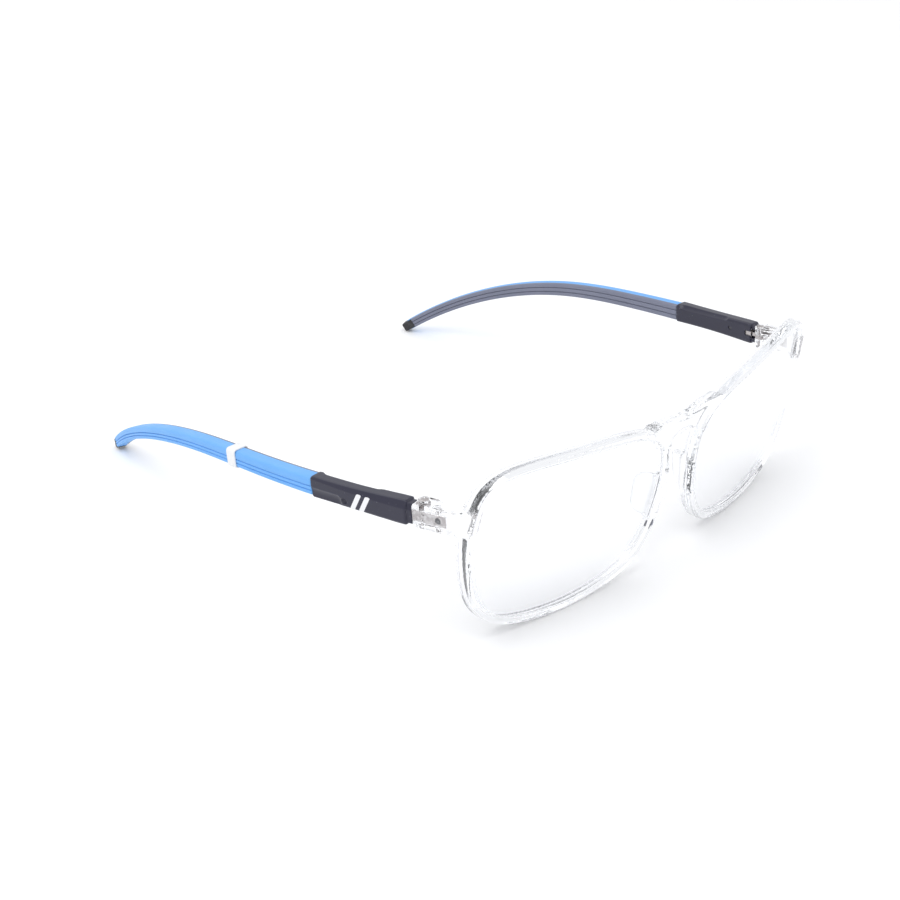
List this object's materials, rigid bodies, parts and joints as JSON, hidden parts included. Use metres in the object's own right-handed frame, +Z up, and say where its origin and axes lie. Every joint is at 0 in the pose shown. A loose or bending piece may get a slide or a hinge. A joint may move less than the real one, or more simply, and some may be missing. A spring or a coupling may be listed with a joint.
{
  "type": "clear sports spectacles with sprung hinges",
  "caption": "Clear full-rim sports spectacles with clear lenses, sprung folding hinges and ribbed two-tone soft temples over a dark spine.",
  "frame": {"origin": "on the ground, midway across and midway along the open spectacles", "axes": "+Y from the front towards the temple tips, +Z up, +X towards the wearer's left"},
  "size_m": [0.1451, 0.1506, 0.0442],
  "materials": {
    "clear_frame": "glossy clear nylon",
    "lens": "polished clear polycarbonate",
    "black_nylon": "satin",
    "black_spine": "satin",
    "blue_cover": "soft matt",
    "grey_cover": "soft matt",
    "white_band": "satin",
    "steel": "satin",
    "dark_steel": "satin"
  },
  "bodies": {
    "front": {"front_frame": "clear_frame", "right_lens": "lens", "left_lens": "lens", "right_hinge_plate": "steel", "left_hinge_plate": "steel", "right_plate_rivet": "dark_steel", "left_plate_rivet": "dark_steel"},
    "right_screw": {"right_hinge_screw": "steel"},
    "right_slider": {"right_hinge_slider": "steel", "right_spring_nut": "dark_steel"},
    "right_temple": {"right_temple_front": "black_nylon", "right_temple_core": "black_spine", "right_outer_cover": "blue_cover", "right_inner_cover": "grey_cover", "right_spring_case": "steel", "right_lock_pin": "dark_steel", "right_flex_spring": "steel", "right_marker_band": "white_band"},
    "left_screw": {"left_hinge_screw": "steel"},
    "left_slider": {"left_hinge_slider": "steel", "left_spring_nut": "dark_steel"},
    "left_temple": {"left_temple_front": "black_nylon", "left_temple_core": "black_spine", "left_outer_cover": "blue_cover", "left_inner_cover": "grey_cover", "left_spring_case": "steel", "left_lock_pin": "dark_steel", "left_flex_spring": "steel"}
  },
  "joints": [
    {"name": "right_fold", "type": "hinge", "parent": "front", "child": "right_screw", "pos_m": [-0.06511, -0.05283, 0.0322], "axis": [0.0134, -0.0808, -0.9966], "range_deg": [0, 67]},
    {"name": "right_flex", "type": "hinge", "parent": "right_screw", "child": "right_slider", "pos_m": [-0.06511, -0.05283, 0.0322], "axis": [-0.0134, 0.0808, 0.9966], "range_deg": [0, 8], "stiffness_Nm_per_rad": 0.6, "springref_deg": -1.72},
    {"name": "right_spring_slide", "type": "slide", "parent": "right_slider", "child": "right_temple", "axis": [-0.1628, 0.9833, -0.0819], "range_m": [0, 0.00045], "deforming": ["right_flex_spring"]},
    {"name": "left_fold", "type": "hinge", "parent": "front", "child": "left_screw", "pos_m": [0.06511, -0.05283, 0.0322], "axis": [0.0134, 0.0808, 0.9966], "range_deg": [0, 88]},
    {"name": "left_flex", "type": "hinge", "parent": "left_screw", "child": "left_slider", "pos_m": [0.06511, -0.05283, 0.0322], "axis": [-0.0134, -0.0808, -0.9966], "range_deg": [0, 8], "stiffness_Nm_per_rad": 0.6, "springref_deg": -1.72},
    {"name": "left_spring_slide", "type": "slide", "parent": "left_slider", "child": "left_temple", "axis": [0.1628, 0.9833, -0.0819], "range_m": [0, 0.00045], "deforming": ["left_flex_spring"]}
  ],
  "couplings": [
    {"joint": "right_spring_slide", "follows": "right_flex", "m_per_rad": 0.00315},
    {"joint": "left_spring_slide", "follows": "left_flex", "m_per_rad": 0.00315}
  ]
}
